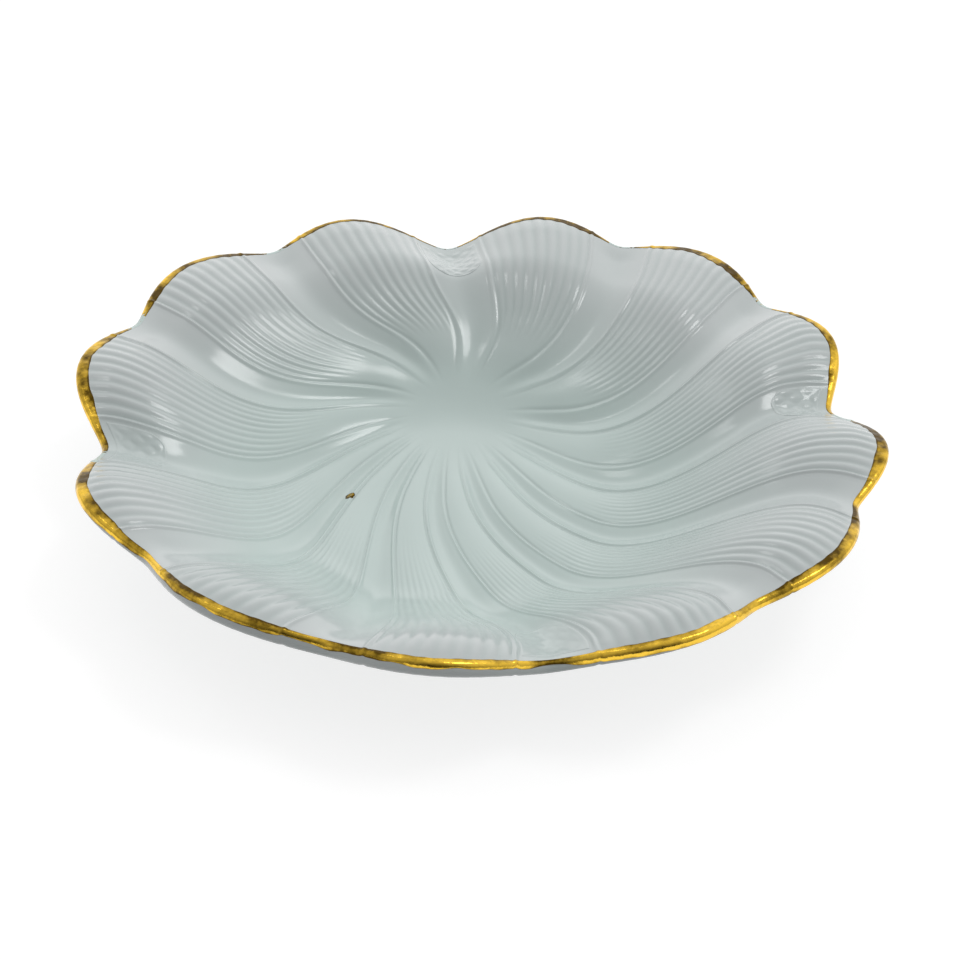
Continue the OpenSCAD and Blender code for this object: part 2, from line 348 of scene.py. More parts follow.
    def edge_depth(self, a):
        """Thickness of the rim's edge, a little more round the front left."""
        off = np.angle(np.exp(1j * (self.placed(a) - self.dish.swell_bearing)))
        return self.dish.edge_thickness + self.dish.edge_swell * bell(off / self.dish.swell_spread)

    def rib_phase(self, s, a):
        """Whole numbers in the grooves between ribs, counted across a fan, and 0 outside it."""
        cell = np.floor(a / self.pitch)
        start = self.band_edge(cell * self.pitch) + self.bead_angle(s)
        stop = self.pitch - self.band_edge((cell + 1) * self.pitch) - self.bead_angle(s)
        return self.relief.ribs * np.clip((a - cell * self.pitch - start) / (stop - start), 0, 1)

    def ribbed(self, s, a):
        """The ribs across a fan, each pressed a little higher or lower than the next, and all of them
        lower down on the slope, most of all at the front."""
        phase = self.rib_phase(s, a)
        place = self.rib_step * np.floor(phase) + self.fan_step * np.floor(a / self.pitch)
        narrow = 1 - rise(s, self.soft_from, self.soft_to)
        softer = (self.slope_soft + self.front_soft * ease(-np.cos(a))) * narrow
        full = rounded_ridge(phase, self.rib_softness) * self.rib_share(s, a)
        return full * (1 + self.rib_uneven * np.sin(place)) * (1 - softer)

    def fine_relief(self, s, a):
        """Beads on the band edges, a groove on each one's fan side, and rounded ribs across the fan."""
        width = self.bead_angle(s)
        past = (np.abs(self.notch_offset(a)) - self.band_edge(a)) / width
        outward = rise(s, self.relief_from, self.grown_at)
        bead = self.relief.bead_height * bell(past) * (self.bead_least + (1 - self.bead_least) * outward)
        groove = -self.relief.groove_depth * bell(past - self.groove_aside)
        groove = groove * (self.groove_least + (1 - self.groove_least) * outward)
        groove = groove * (1 - self.groove_filled * self.rib_share(s, a))
        ribs = self.relief.rib_height * self.ribbed(s, a)
        rim = rise(s, self.rim_fade_from, 1)
        pressed = bead * (1 - self.bead_fade * rim) + (groove + ribs) * (1 - self.rib_fade * rim)
        return pressed * rise(s, self.relief_from, self.fine_full)

    def pool(self, s, a):
        """Where the glaze runs together: 1 in the grooves beside ribs and beads, 0 on them."""
        past = (np.abs(self.notch_offset(a)) - self.band_edge(a)) / self.bead_angle(s)
        grooves = 1 - rounded_ridge(self.rib_phase(s, a), self.rib_softness)
        between = grooves * self.rib_share(s, a) * ease(past / 2)
        pooled = np.clip(np.maximum(between, bell(past - self.pool_aside)) - bell(past), 0, 1)
        return pooled * rise(s, self.relief_from, self.fine_full)

    def upper(self, s, a):
        """The upper face: the eye's offset fading out, plus the share s of the rim's reach along the
        swirled bearing, lifted by the dish, the rim's wave and the relief."""
        waved = rise(s, self.wave_from, 1)
        reach = s * (self.notch_reach + self.scallop(a) * waved)
        drift = 1 - ease(s / self.eye_drift_to)
        spot = self.eye * drift[..., None] + reach[..., None] * toward(self.placed(a) + self.swirl(s, a))
        height = self.dish_height(spot) + self.rim_wave(a, waved, rise(s, self.drop_from, 1))
        return raised(spot, height + self.broad_relief(s, a) + self.fine_relief(s, a))

    def edge(self, a, tilt, proud):
        """The rounded rim: half an oval about the middle of the edge, at angle tilt above level."""
        top, half = self.upper(np.ones_like(a), a), self.edge_depth(a) / 2
        out = (self.edge_half + proud) * np.cos(tilt)
        spot = top[..., :2] + out[..., None] * toward(self.placed(a))
        return raised(spot, top[..., 2] - half + (half + proud) * np.sin(tilt))

    def under(self, u, a):
        """The underside: share u of the reach from the foot's axis, the dish less the wall, and the
        rim's wave; the fine relief of the edge dies down in the first millimetres."""
        waved = rise(u, self.under_wave_from, 1)
        centred = rise(u, self.seat_edge, (1 + self.seat_edge) / 2)
        reach = u * self.notch_reach + self.scallop(a) * waved
        spot = self.well * (1 - centred)[..., None] + reach[..., None] * toward(self.placed(a))
        wall = self.dish.wall + (self.edge_depth(a) - self.dish.wall) * rise(u, self.thin_from, 1)
        carried = self.fine_relief(np.ones_like(a), a) * rise(u, self.rim_fade_from, 1)
        return raised(spot, self.dish_height(spot) - wall + self.rim_wave(a, waved, waved) + carried)

    def columns(self, s):
        """Bearings of the mesh's columns at shares s: even steps across each band's middle and each fan,
        and closer ones over each bead's zone. Their number is a multiple of four."""
        zone, beta = self.zone_steps, self.bead_angle(s)[:, None] * self.bead_zone
        parts = []
        for cell in range(self.lobes):
            half = float(self.band_edge(np.array(cell * self.pitch)))
            after = float(self.band_edge(np.array((cell + 1) * self.pitch)))
            knots = [(-half - beta, zone), (-half + beta, self.band_steps), (half - beta, zone),
                     (half + beta, self.rib_steps * self.relief.ribs), (self.pitch - after - beta, 0)]
            for (start, steps), (stop, _) in zip(knots, knots[1:]):
                parts.append(cell * self.pitch + start + (stop - start) * np.arange(steps) / steps)
        return np.concatenate(parts, 1)


def sheet_faces(grid):
    """Quads between the rows and columns of a grid of point numbers."""
    return np.stack([grid[:-1, :-1], grid[:-1, 1:], grid[1:, 1:], grid[1:, :-1]], -1).reshape(-1, 4)


def tube_faces(rows, columns, first=0):
    """Quads between closed rings of columns points each, facing the side on which rows run inward."""
    grid = first + np.arange(rows * columns).reshape(rows, columns)
    return sheet_faces(np.concatenate([grid, grid[:, :1]], 1))


def loop_faces(rows, columns):
    """The quads of a closed section: its last ring joins its first."""
    return tube_faces(rows + 1, columns) % (rows * columns)


def new_object(name, data):
    """A new object in the scene."""
    made = bpy.data.objects.new(name, data)
    bpy.context.scene.collection.objects.link(made)
    return made


def make_piece(name, points, faces, material, replaces, attributes):
    """A smooth-shaded mesh from points and arrays of faces, with a value per point for each attribute.
    It rides on the body, and it may replace nodes of the frame."""
    mesh = bpy.data.meshes.new(name)
    corners = [face.tolist() for group in faces for face in group]
    mesh.from_pydata(points.reshape(-1, 3).tolist(), [], corners)
    mesh.polygons.foreach_set("use_smooth", np.ones(len(mesh.polygons), bool))
    for key, values in attributes.items():
        stored = mesh.attributes.new(key, "FLOAT", "POINT")
        stored.data.foreach_set("value", np.ravel(values).astype(np.float32))
    mesh.materials.append(material)
    mesh.update()
    piece = new_object(name, mesh)
    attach(piece, BODY)
    if replaces:
        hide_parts(*replaces)


def linear(hexed):
    """An sRGB hex value as a linear colour."""
    levels = [int(hexed[i:i + 2], 16) / 255 for i in (1, 3, 5)]
    return (*[v / 12.92 if v <= 0.04045 else ((v + 0.055) / 1.055) ** 2.4 for v in levels], 1.0)


def add_node(tree, kind, inputs=(), **settings):
    """Adds a shader node, sets its settings, and gives its inputs a value or a link each."""
    node = tree.nodes.new("ShaderNode" + kind)
    for key, value in settings.items():
        setattr(node, key, value)
    for key, value in dict(inputs).items():
        if isinstance(value, bpy.types.NodeSocket):
            tree.links.new(value, node.inputs[key])
        else:
            node.inputs[key].default_value = value
    return node


def new_material(name):
    """An empty material and its nodes."""
    material = bpy.data.materials.new(name)
    material.use_nodes = True
    material.node_tree.nodes.clear()
    return material, material.node_tree


def mixed(tree, factor, first, second):
    """Colour between first and second by factor. A mix node's colours are its sockets 6 and 7."""
    return add_node(tree, "Mix", {0: factor, 6: first, 7: second}, data_type="RGBA").outputs[2]


def noise(tree, place, millimetres, detail, roughness=0.5):
    """A noise about 0.5 whose features are that many millimetres apart."""
    return add_node(tree, "TexNoise", {
        "Vector": place, "Scale": 1 / (millimetres * MM), "Detail": detail,
        "Roughness": roughness}).outputs["Fac"]


def ramp(tree, value, start, stop, low, high):
    """The value taken from the range start to stop into the range low to high, and held there."""
    return add_node(tree, "MapRange", {0: value, 1: start, 2: stop, 3: low, 4: high}).outputs[0]


def reckon(tree, operation, *values, clamp=False):
    """One sum, product or comparison of the values."""
    return add_node(
        tree, "Math", enumerate(values), operation=operation, use_clamp=clamp).outputs[0]


def layer(tree, name):
    """A piece's own attribute, a value per point."""
    return add_node(tree, "Attribute", attribute_name=name).outputs["Fac"]


def glaze_material(finish, name="glazed porcelain, dipped and fired", bare_below=None):
    """Glazed porcelain: a pale blue-green glossy coat over a white body, deeper where it pools and more
    neutral where it has run thin, up on the wall and the rim. It has soft wide tones, a faint unevenness
    in its reflections and a few iron specks. Below the height bare_below it is wiped off."""
    material, tree = new_material(name)
    place = add_node(tree, "TexCoord").outputs["Object"]
    height = add_node(tree, "SeparateXYZ", {0: place}).outputs["Z"]
    tone = ramp(tree, noise(tree, place, 45, 3.0), 0.3, 0.7, 0.0, 0.22)
    depth = reckon(tree, "MULTIPLY_ADD", layer(tree, "pool"), 0.3, tone)
    climb = ramp(tree, height, 12 * MM, 30 * MM, 0.0, 1.0)
    thinning = mixed(tree, climb, linear(finish.glaze), linear(finish.glaze_rim))
    base = mixed(tree, depth, thinning, linear(finish.glaze_deep))
    # A speck lies at the middle of one cell in fourteen
    cells = add_node(tree, "TexVoronoi", {"Vector": place, "Scale": 1 / (11 * MM)}).outputs
    near = ramp(tree, cells["Distance"], 0.016, 0.03, 1.0, 0.0)
    drawn = add_node(tree, "SeparateColor", {0: cells["Color"]}).outputs[0]
    spot = reckon(tree, "MULTIPLY", near, reckon(tree, "GREATER_THAN", drawn, 0.93))
    base = mixed(tree, spot, base, linear(finish.speck))
    bump = add_node(tree, "Bump", {
        "Height": noise(tree, place, 5, 2.0), "Strength": 0.25, "Distance": 0.12 * MM})
    gloss, coat = 0.2, 0.5
    if bare_below is not None:
        # The wiped edge is ragged, and the bare body is rough and has no coat
        wiped = reckon(tree, "MULTIPLY_ADD", noise(tree, place, 0.9, 4.0), 0.3 * MM, height)
        bare = ramp(tree, wiped, bare_below, bare_below + 0.15 * MM, 1.0, 0.0)
        base = mixed(tree, bare, base, linear(finish.bare))
        gloss = ramp(tree, bare, 0.0, 1.0, gloss, 0.75)
        coat = ramp(tree, bare, 0.0, 1.0, coat, 0.0)
    shader = add_node(tree, "BsdfPrincipled", {
        "Base Color": base, "Roughness": gloss, "IOR": 1.5, "Normal": bump.outputs[0],
        "Coat Weight": coat, "Coat Roughness": 0.14, "Coat IOR": 1.5})
    add_node(tree, "OutputMaterial", {"Surface": shader.outputs[0]})
    return material


def gold_material(finish):
    """Burnished gold, brushed on over the glaze and fired: metallic, browner where its dullness is high,
    from gold lying thin, the brush running dry, and painted shade and highlights, with a grainy, slightly
    lumpy skin that breaks up the reflections, and bare glaze where it has rubbed away."""
    material, tree = new_material("burnished gold, brushed and fired")
    place = add_node(tree, "TexCoord").outputs["Object"]
    mottle = ramp(tree, noise(tree, place, 2.4, 6.0, 0.62), 0.36, 0.64, -0.24, 0.24)
    brush = ramp(tree, noise(tree, place, 11, 1.0), 0.4, 0.6, -0.28, 0.4)
    uneven = reckon(tree, "ADD", mottle, brush)
    # The dullness: the thin attribute, which holds thin gold and also painted shade and highlights, plus
    # noise
    dull = reckon(tree, "MULTIPLY_ADD", layer(tree, "thin"), 0.95, uneven, clamp=True)
    metal = mixed(tree, dull, linear(finish.gold), linear(finish.gold_dull_and_shaded))
    ragged = reckon(tree, "MULTIPLY_ADD", noise(tree, place, 0.8, 3.0), 0.9, layer(tree, "wear"))
    gone = ramp(tree, ragged, 0.98, 1.04, 0.0, 1.0)
    bump = add_node(tree, "Bump", {
        "Height": noise(tree, place, 3.2, 4.0), "Strength": 0.6, "Distance": 0.4 * MM})
    shader = add_node(tree, "BsdfPrincipled", {
        "Base Color": mixed(tree, gone, metal, linear(finish.glaze)),
        "Metallic": ramp(tree, gone, 0.0, 1.0, 1.0, 0.0),
        "Roughness": ramp(tree, dull, 0.0, 1.0, 0.17, 0.34),
        "Normal": bump.outputs[0]})
    add_node(tree, "OutputMaterial", {"Surface": shader.outputs[0]})
    return material


class PLATE_OT_shell(Operator):
    """Make the porcelain shell, from the eye over the rim to the underside"""

    bl_idname = "plate.shell"
    bl_label = "Porcelain shell"
    # Stretches of the way from the eye to the rim, and the rows on each
    stretches = ((0.02, 0.12, 5), (0.12, 0.9, 58), (0.9, 1, 19))
    # Degrees above level of the edge's highest and lowest row, and its rows
    edge_rows = (67.5, -67.5, 7)
    # Rows underneath: close to the rim, from there to the foot, and inside the foot to the last share
    lip_rows, outer_rows, inner_rows, last_share = 4, 26, 6, 0.02

    def execute(self, context):
        form = Form(context.scene)
        shares = np.unique(np.concatenate([np.linspace(*stretch) for stretch in self.stretches]))
        a = form.columns(shares)
        rim = a[-1:]
        tilts = np.radians(np.linspace(*self.edge_rows))[:, None]
        lips = np.linspace(1, form.rim_fade_from, self.lip_rows)[:, None]
        fine = np.concatenate([
            form.upper(shares[:, None], a), form.edge(rim, tilts, 0), form.under(lips, rim)])
        # From there inward the underside has one column for four of the upper face
        coarse = rim[:, ::4]
        (rows, count), quarter = fine.shape[:2], coarse.size
        outside = np.linspace(form.rim_fade_from, form.seat_edge, self.outer_rows)[1:, None]
        radii = np.array([form.foot_outer, form.foot_inner])[:, None, None]
        seats = raised(form.well + radii * toward(form.placed(coarse)),
                       np.full((2, quarter), form.seat_height))
        seat_from = (form.foot_inner - form.seat_margin) / form.notch_reach
        inside = np.linspace(seat_from, self.last_share, self.inner_rows)[:, None]
        below = np.concatenate([form.under(outside, coarse), seats, form.under(inside, coarse)])
        centre = np.zeros(1)
        points = np.concatenate([fine.reshape(-1, 3), below.reshape(-1, 3), form.upper(centre, centre),
                                 form.under(centre, centre)])
        first, hub = rows * count, len(points) - 2
        i, j = np.arange(count), np.arange(quarter)
        after = (j + 1) % quarter
        finer = [first - count + (4 * j + k) % count for k in range(5)]
        here, there = first + j, first + after
        stitches = ((finer[0], finer[1], here), (finer[1], finer[2], here), (finer[2], there, here),
                    (finer[2], finer[3], there), (finer[3], finer[4], there))
        ends = first + (len(below) - 1) * quarter
        faces = [
            np.stack([i, np.full(count, hub), (i + 1) % count], -1),
            tube_faces(rows, count),
            *[np.stack(corners, -1) for corners in stitches],
            tube_faces(len(below), quarter, first),
            np.stack([ends + j, ends + after, np.full(quarter, hub + 1)], -1),
        ]
        pool = np.zeros(len(points))
        pool[:a.size] = form.pool(shares[:, None], a).ravel()
        material = glaze_material(context.scene.plate_finish)
        make_piece("porcelain_shell", points, faces, material, ["shell"], {"pool": pool})
        return {"FINISHED"}


class PLATE_OT_foot(Operator):
    """Make the turned foot ring with its bare standing face"""

    bl_idname = "plate.foot"
    bl_label = "Foot ring"
    # Columns round the ring, and rows on the bevel either side of its standing face
    count, bevel_rows = 240, 7
    # How deep it is let into the shell, and the reach and height of the fillet below that
    let_in, fillet_reach, fillet_height = 0.2 * MM, 0.6 * MM, 0.9 * MM
    # Up to about here the glaze is wiped off
    bare_below = 0.35 * MM

    def execute(self, context):
        form, dish = Form(context.scene), context.scene.plate_dish
        turn = np.radians(np.linspace(0, 90, self.bevel_rows))
        curve, mirrored = dish.foot_bevel * (1 - np.cos(turn)), dish.foot_bevel * (1 - np.sin(turn))
        low_in, low_out = form.foot_inner + dish.foot_draft, form.foot_outer - dish.foot_draft
        top = form.seat_height + self.let_in
        side = top - self.fillet_height
        profile = np.concatenate([
            [[form.foot_inner - self.fillet_reach, top], [form.foot_inner, side]],
            np.stack([low_in + curve, mirrored], -1),
            np.stack([low_out - mirrored, curve], -1),
            [[form.foot_outer, side], [form.foot_outer + self.fillet_reach, top]]])
        around = np.linspace(0, 2 * math.pi, self.count, endpoint=False)
        spot = form.well + profile[:, None, :1] * toward(around)
        points = raised(spot, np.broadcast_to(profile[:, 1:], spot.shape[:2]))
        faces = loop_faces(len(profile), self.count)[:, ::-1]
        material = glaze_material(
            context.scene.plate_finish, "porcelain foot, wiped bare below", self.bare_below)
        make_piece("turned_foot_ring", points, [faces], material, ["foot_ring"],
                   {"pool": np.zeros(points.shape[:2])})
        return {"FINISHED"}


class PLATE_OT_gilding(Operator):
    """Make the gold on the rim and its splash on the floor"""

    bl_idname = "plate.gilding"
    bl_label = "Gilding"
    # The brushed width round the rim, as degrees of bearing and a share of the full width
    painted = (
        (0, 0.35), (16, 0.6), (25, 1.2), (33, 0.7), (42, 0.9), (50, 1.4), (57, 1.2), (66, 0.7),
        (90, 0.85), (120, 0.8), (150, 0.75), (172, 0.6), (179, 0.3), (186, 0.5), (210, 0.4),
        (240, 0.7), (270, 1.05), (294, 0.9), (302, 1.4), (310, 1.1), (318, 0.6), (327, 0.9),
        (335, 1.4), (344, 0.6), (360, 0.35))
    # Painted highlights, where the gold is made lighter: degrees of bearing and half widths
    brightest = ((279, 12), (80, 9), (187, 7), (172, 4), (153, 8), (236, 7), (250, 6))
    # The tremble of the brush: waves by size, number round the rim and phase
    tremors = ((0.07, 31, 0), (0.05, 53, 1.3), (0.03, 97, 0))
    # How far it moves the lower limit, and the angle above level at which the rows go over the edge
    limit_tremble, over_edge = math.radians(14), math.radians(75)
    # In the front notch the gold draws in to a thin line, dark partly from thin gold and partly as
    # painted shade under the lip: its bearing there, half width and limit
    drawn_at, drawn_half, drawn_limit = math.radians(0.4), math.radians(2), math.radians(38)
    # How dull it is in each row, from its inner limit to its lower one, darker on top and at the lower
    # limit as painted shade and lightest round the outer edge as a painted sheen, and the rows on top of
    # the rim
    painted_shade_and_sheen_rows = (1.6, 1.2, 0.9, 0.84, 0.8, 0.74, 0.68, 0.56, 0.42, 0.3, 0.22, 0.18, 0.2, 0.26, 0.34, 0.46,
                 0.65, 1.0, 1.5)
    top_rows = 7
    # The skin's inner face lies this deep in the glaze
    sunk = 0.1 * MM
    # The splash: points round it, shares of its radius, heights of its dome and ring, and depths of its
    # outline and its base
    turns, splash_steps = 48, np.array([0, 0.2, 0.4, 0.55, 0.7, 0.82, 0.92, 1.0])
    dome, ridge, outline_depth, base_depth = 0.05 * MM, 0.09 * MM, 0.03 * MM, 0.4 * MM

    def execute(self, context):
        scene = context.scene
        form, gilt = Form(scene), scene.plate_gilt
        a = form.columns(np.ones(1))[0]
        true = form.placed(a)
        around = np.mod(np.degrees(true), 360)
        hand = 0.5 + 0.5 * np.sin(7 * true + 0.8) * np.sin(3 * true + 2.1)
        tremble = sum(size * np.sin(number * true + phase) for size, number, phase in self.tremors)
        tremble_full = sum(size for size, _, _ in self.tremors)
        lobe = ease(form.lobe(a) * 1.5 - 0.15)
        on_lobe = gilt.top_width * (0.85 + 0.3 * hand)
        width = np.interp(around, *zip(*self.painted)) * (
            gilt.notch_width + (on_lobe - gilt.notch_width) * lobe)
        drawn = bell((form.deep_offset(a) - self.drawn_at) / self.drawn_half) * (np.cos(true) < -0.7)
        start = 1 - width * (1 + tremble) * (1 - 0.8 * drawn) / form.outline.notch_radius
        # Rubbed away forward of the side notches, and in part at the back ones
        forward = form.deep_offset(a) * np.sin(true)
        gap = bell((forward - gilt.gap_at) / gilt.gap_half) * (np.abs(np.sin(true)) > 0.7)
        faded = ease((0.4 - form.lobe(a)) / 0.4) * ease(np.cos(true) * 2)
        wear = np.maximum(gap, 0.7 * faded)
        # The gold stops higher where the edge is thickest
        swell = (form.edge_depth(a) - form.dish.edge_thickness) / form.dish.edge_swell
        lowest = gilt.lowest + (gilt.swell_limit - gilt.lowest) * np.minimum(1.6 * swell, 1)
        lowest = lowest + self.limit_tremble * tremble / tremble_full
        lowest = lowest + (self.drawn_limit - lowest) * drawn

        def skin(proud):
            """The rim's own surface, stood off by proud, from the gold's inner to its lower limit."""
            top = start + (1 - start) * np.linspace(0, 1, self.top_rows)[:, None]
            side = np.linspace(0, 1, len(self.painted_shade_and_sheen_rows) - self.top_rows)[:, None]
            tilt = self.over_edge + (lowest - self.over_edge) * side
            return np.concatenate([form.upper(top, a) + proud * UP, form.edge(a, tilt, proud)])

        outer, inner = skin(gilt.thickness), skin(-self.sunk)
        for row in (0, -1):
            outer[row] = (outer[row] + 3 * inner[row]) / 4
        rings = np.concatenate([outer, inner[::-1]])
        # Painted highlights: how far each point lies within the listed bright bearings
        highlight_share = np.clip(sum(bell((around - place) / half) for place, half in self.brightest), 0, 1)
        rows = np.array(self.painted_shade_and_sheen_rows)
        # Dullness per point: the rows' painted shade and sheen, lighter at the painted highlights and, as
        # painted light, towards the back, and darker in the front notch
        thin = np.concatenate([rows, rows[::-1]])[:, None] - 0.35 * highlight_share
        thin = thin - 0.1 * ease(np.cos(true)) + 0.8 * drawn
        material = gold_material(scene.plate_finish)
        make_piece("gilded_rim", rings, [loop_faces(len(rings), len(a))], material, ["gilt_edge"],
                   {"wear": np.tile(wear, len(rings)), "thin": thin})
        self.splash(form, gilt, material)
        return {"FINISHED"}

    def splash(self, form, gilt, material):
        """A splash of gold on the floor: a low dome with a raised ring, its outline a wavy circle, taken
        to shares and bearings by the inverse of the upper face's slopes there."""
        turns, steps = self.turns, self.splash_steps
        around = np.linspace(0, 2 * math.pi, turns, endpoint=False)
        radius = gilt.splash_radius * (1 + 0.1 * np.sin(2 * around + 0.6) + 0.07 * np.sin(5 * around))
        small = 0.001
        nearby = form.upper(gilt.splash_share + np.array([0, small, 0]),
                            gilt.splash_bearing + np.array([0, 0, small]))[:, :2]
        stretch = np.linalg.inv((nearby[1:] - nearby[0]).T / small)
        moved = (steps[:, None, None] * radius[:, None] * toward(around)) @ stretch.T
        ground = form.upper(gilt.splash_share + moved[..., 0], gilt.splash_bearing + moved[..., 1])
        height = self.ridge * bell((steps - 0.66) / 0.2) + self.dome * np.sqrt(1 - steps ** 2)
        height = height - self.outline_depth * (steps == 1)
        top = ground[1:] + height[1:, None, None] * UP
        hubs = ground[0, 0] + np.array([height[0], -self.base_depth])[:, None] * UP
        points = np.concatenate([top.reshape(-1, 3), hubs])
        j = np.arange(turns)
        after = (j + 1) % turns
        last, hub = (len(steps) - 2) * turns, len(points) - 2
        faces = [np.stack([j, np.full(turns, hub), after], -1), tube_faces(len(steps) - 1, turns),
                 np.stack([last + j, last + after, np.full(turns, hub + 1)], -1)]
        thin = np.append(np.repeat(bell((steps[1:] - 1) / 0.45), turns), [0.2, 1])
        make_piece("gold_splash", points, faces, material, (),
                   {"wear": np.zeros(len(points)), "thin": thin})


class PLATE_OT_panels(Operator):
    """Make the four lattice panels in the deep notches"""

    bl_idname = "plate.panels"
    bl_label = "Lattice panels"
    # Each panel's node, how much of its lattice the glaze has left showing, and how much longer than
    # usual it is
    panels = (("panel_back", 1.0, 7 * MM), ("panel_right", 1.0, -1.6 * MM),
              ("panel_front", 0.35, 1.6 * MM), ("panel_left", 0.8, -1.6 * MM))
    rows, cols = 81, 65
    # Shares of the length over which its inner end and its corners at the rim are rounded, the least
    # widths there, and the curves' power
    inner_round, rim_round, inner_least, rim_least, squareness = 0.36, 0.05, 0.03, 0.7, 2.4
    # Bead half widths between a panel and the edges of its band
    clear_of_bead = 1.5
    # In from the outline: the border's middle and half width, and the lattice's start and rise
    border_at, border_half, lattice_from, lattice_rise = 0.8 * MM, 0.6 * MM, 0.9 * MM, 1.2 * MM
    # A diamond's length over its width, and the softness of the grooves between diamonds
    diamond_length, groove_softness = 1.15, 0.4
    # How proud of its band a panel stands, how deep its outline is sunk, each with the margin over which
    # it is reached, and the depth of its underside
    proud, proud_over, sunk, sunk_over, underside = 0.07 * MM, 1 * MM, 0.25 * MM, 0.7 * MM, 0.5 * MM

    def rounded_end(self, t):
        """A quarter of a squarish oval: 0 at t = 0 and 1 from t = 1 on."""
        return (1 - (1 - np.minimum(t, 1)) ** self.squareness) ** (1 / self.squareness)

    def execute(self, context):
        form, relief = Form(context.scene), context.scene.plate_relief
        material = bpy.data.materials["glazed porcelain, dipped and fired"]
        reach = form.outline.deep_notch_radius - form.edge_half
        rows, cols = self.rows, self.cols
        along, across = np.linspace(0, 1, rows)[:, None], np.linspace(-1, 1, cols)[None, :]
        inner = np.maximum(self.rounded_end(along / self.inner_round), self.inner_least)
        rim = np.maximum(self.rounded_end((1 - along) / self.rim_round), self.rim_least)
        widest = relief.deep_band_half - self.clear_of_bead * form.bead_angle(np.ones(1))[0]
        half = widest * inner * rim
        grid = np.arange(rows * cols).reshape(rows, cols)
        ring = np.concatenate([grid[0], grid[1:, -1], grid[-1, -2::-1], grid[-2:0:-1, 0]])
        after = np.roll(ring, -1)
        faces = [sheet_faces(grid), sheet_faces(grid + grid.size)[:, ::-1],
                 np.stack([ring, ring + grid.size, after + grid.size, after], -1)]
        for index, (node, shown, longer) in enumerate(self.panels):
            middle, size = index * form.deep_pitch, relief.panel_length + longer
            start = 1 - (relief.panel_inset + size) / reach
            s = start + size / reach * along
            a = middle + half * across
            # The ends are sheared by the slope of the flow lines across a circle, to lie square to them
            step = 0.01
            slope = s * (form.swirl(s + step, a) - form.swirl(s - step, a)) / (2 * step)
            s = s - (slope / (1 + slope * slope) * s * (a - middle)) * (1 - along ** 2)
            x, y = (a - middle) * reach, size * along
            # The border follows the outline, and grooves that cross aslant part the diamonds
            margin = np.minimum((1 - np.abs(across)) * half * reach, np.minimum(y, size - y))
            border = relief.panel_border * bell((margin - self.border_at) / self.border_half)
            border = border * (1 - 0.4 * along)
            u, v = x / relief.cell_width, y / (relief.cell_width * self.diamond_length)
            soft = self.groove_softness
            pillow = rounded_ridge(u + v, soft) * rounded_ridge(u - v, soft)
            inside = ease((margin - self.lattice_from) / self.lattice_rise)
            height = border * (1 - 0.6 * inside) + relief.cell_height * shown * pillow * inside
            height = (height + self.proud) * ease(margin / self.proud_over)
            height = height - self.sunk * (1 - ease(margin / self.sunk_over))
            ground = form.upper(s, a)
            points = np.stack([ground + height[..., None] * UP, ground - self.underside * UP])
            pool = np.stack([0.4 * (1 - pillow) * inside, np.zeros((rows, cols))])
            make_piece("lattice_" + node, points, faces, material, [node], {"pool": pool})
        return {"FINISHED"}


class PLATE_OT_stage(Operator):
    """Set up the floor, the studio light and the camera"""

    bl_idname = "plate.stage"
    bl_label = "Stage"
    # Each wall's direction and level: right, left, far and ceiling
    walls = (((1, 0, 0.7), 0.82), ((-1, 0, 0.7), 0.56), ((0, 1, 0.15), 1.1), ((0, 0, 1), 0.14))
    # Each lamp's name, bearing and elevation (degrees), distance and size (metres) and power
    lamps = (("window to the right", 83, 62, 1.6, 0.54, 3.4),
             ("ceiling lamp to the left", 311, 58, 1.6, 0.26, 0.45))
    # Height of the point that the camera's shifts start from, and its film's width
    aim_height, film_mm = 25.5 * MM, 36.0

    def execute(self, context):
        scene, stage = context.scene, context.scene.plate_stage
        scene.view_settings.view_transform = "Standard"
        make_floor()
        make_world(scene, self.walls)
        for settings in self.lamps:
            lamp(UP * Form(scene).rim_height, *settings)
        camera = new_object("camera", bpy.data.cameras.new("camera"))
        camera.data.lens, camera.data.sensor_width = stage.lens, self.film_mm
        az, el, roll = stage.azimuth, stage.elevation, stage.roll
        back = Vector((math.sin(az) * math.cos(el), -math.cos(az) * math.cos(el), math.sin(el)))
        level = Vector((math.cos(az), math.sin(az), 0))
        upright = back.cross(level)
        right = level * math.cos(roll) + upright * math.sin(roll)
        up = upright * math.cos(roll) - level * math.sin(roll)
        turned = Matrix((right, up, back)).transposed().to_4x4()
        spot = Vector((0, 0, self.aim_height)) + back * stage.distance
        spot = spot + right * stage.aim_right + up * stage.aim_up
        camera.matrix_world = Matrix.Translation(spot) @ turned
        camera.data.clip_start, camera.data.clip_end = 10 * MM, 50
        scene.camera = camera
        return {"FINISHED"}


def lamp(target, name, azimuth, elevation, distance, size, power):
    """A round area lamp aimed at the target."""
    light = bpy.data.lights.new(name, "AREA")
    light.shape, light.size, light.energy = "DISK", size, power
    a, e = math.radians(azimuth), math.radians(elevation)
    away = Vector((math.sin(a) * math.cos(e), math.cos(a) * math.cos(e), math.sin(e)))
    holder = new_object(name, light)
    holder.location = Vector(target) + away * distance
    holder.rotation_mode = "QUATERNION"
    holder.rotation_quaternion = away.to_track_quat("Z", "Y")


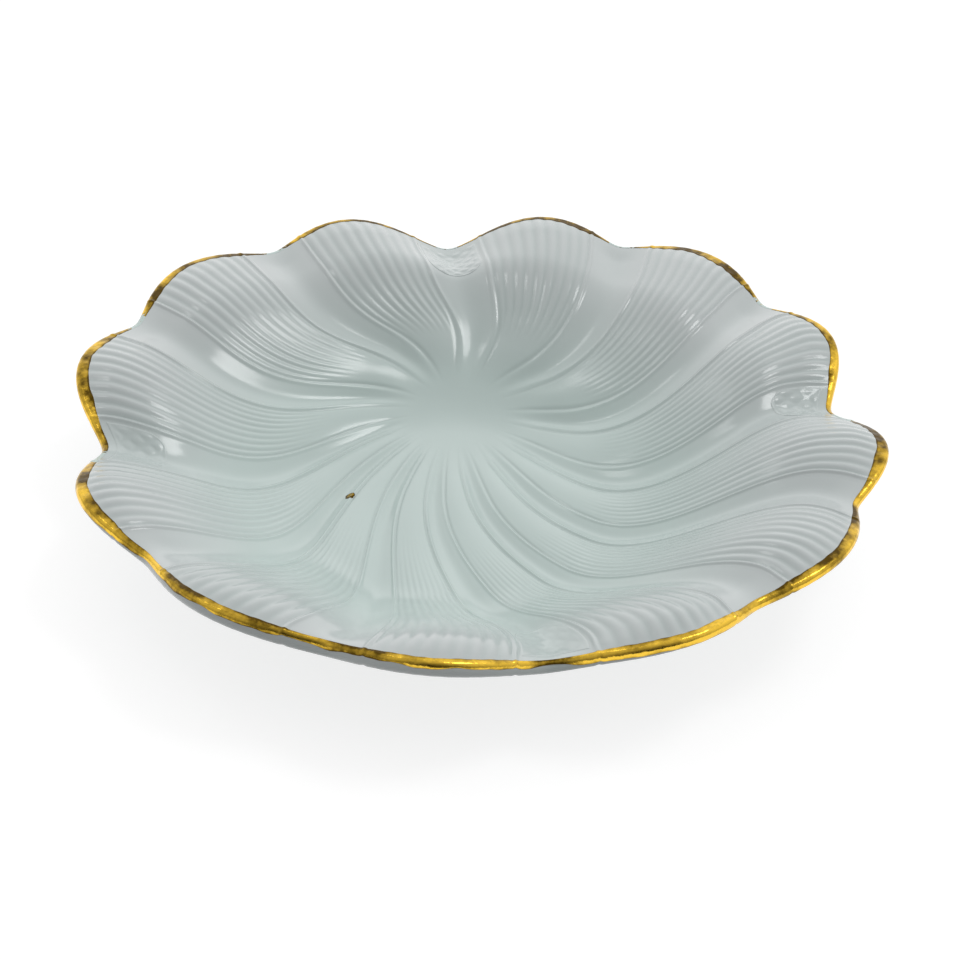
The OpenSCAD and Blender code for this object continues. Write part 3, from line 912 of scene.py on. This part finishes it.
def make_floor():
    """A wide white table top, just under the standing face: a matt grey that also glows evenly where
    the camera or a reflection sees it."""
    reach, drop, glow_level, grey = 4.0, 0.05 * MM, 0.78, 0.38
    mesh = bpy.data.meshes.new("table_top")
    corners = ((-1, -1), (1, -1), (1, 1), (-1, 1))
    mesh.from_pydata([(x * reach, y * reach, -drop) for x, y in corners], [], [(0, 1, 2, 3)])
    material, tree = new_material("white table top, matt")
    rays = add_node(tree, "LightPath").outputs
    seen = reckon(tree, "MAXIMUM", rays["Is Camera Ray"], rays["Is Glossy Ray"])
    seen = reckon(tree, "MAXIMUM", seen, rays["Is Transmission Ray"])
    level = reckon(tree, "MULTIPLY", seen, glow_level)
    glow = add_node(tree, "Emission", {"Color": (1, 1, 1, 1), "Strength": level})
    matt = add_node(tree, "BsdfDiffuse", {"Color": (grey, grey, grey, 1)})
    total = add_node(tree, "AddShader", {0: matt.outputs[0], 1: glow.outputs[0]})
    add_node(tree, "OutputMaterial", {"Surface": total.outputs[0]})
    mesh.materials.append(material)
    floor = new_object("table_top", mesh)


def make_world(scene, walls):
    """The room: each wall is a soft glow that falls off as the square of the cosine from it."""
    world = bpy.data.worlds.new("studio")
    world.use_nodes = True
    tree = world.node_tree
    tree.nodes.clear()
    way = add_node(tree, "TexCoord").outputs["Generated"]
    level = 0.0
    for direction, strength in walls:
        facing = add_node(tree, "VectorMath", {0: way, 1: Vector(direction).normalized()},
                          operation="DOT_PRODUCT").outputs["Value"]
        glow = reckon(tree, "POWER", reckon(tree, "MAXIMUM", facing, 0.0), 2.0)
        level = reckon(tree, "MULTIPLY_ADD", glow, strength, level)
    sky = add_node(tree, "Background", {"Color": (1, 1, 1, 1), "Strength": level})
    add_node(tree, "OutputWorld", {"Surface": sky.outputs[0]})
    scene.world = world


class PLATE_PT_pieces(Panel):
    """The plate's pieces and sizes"""

    bl_label = "Dessert plate"
    bl_space_type = "VIEW_3D"
    bl_region_type = "UI"
    bl_category = "Plate"

    def draw(self, context):
        for operator in STEPS:
            self.layout.operator(operator.bl_idname)
        for key, group in GROUPS.items():
            box = self.layout.box()
            box.label(text=group.__doc__)
            for name in group.__annotations__:
                label = name.replace("_", " ").capitalize()
                box.prop(getattr(context.scene, key), name, text=label)


STEPS = (PLATE_OT_shell, PLATE_OT_foot, PLATE_OT_gilding, PLATE_OT_panels, PLATE_OT_stage)
CLASSES = (*GROUPS.values(), *STEPS, PLATE_PT_pieces)


def register():
    for cls in CLASSES:
        bpy.utils.register_class(cls)
    for key, group in GROUPS.items():
        setattr(bpy.types.Scene, key, PointerProperty(type=group))


def unregister():
    for key in GROUPS:
        delattr(bpy.types.Scene, key)
    for cls in reversed(CLASSES):
        bpy.utils.unregister_class(cls)


def main():
    """Makes every piece and the stage."""
    register()
    for step in STEPS:
        area, operator = step.bl_idname.split(".")
        getattr(getattr(bpy.ops, area), operator)()


if __name__ == "__main__":
    main()
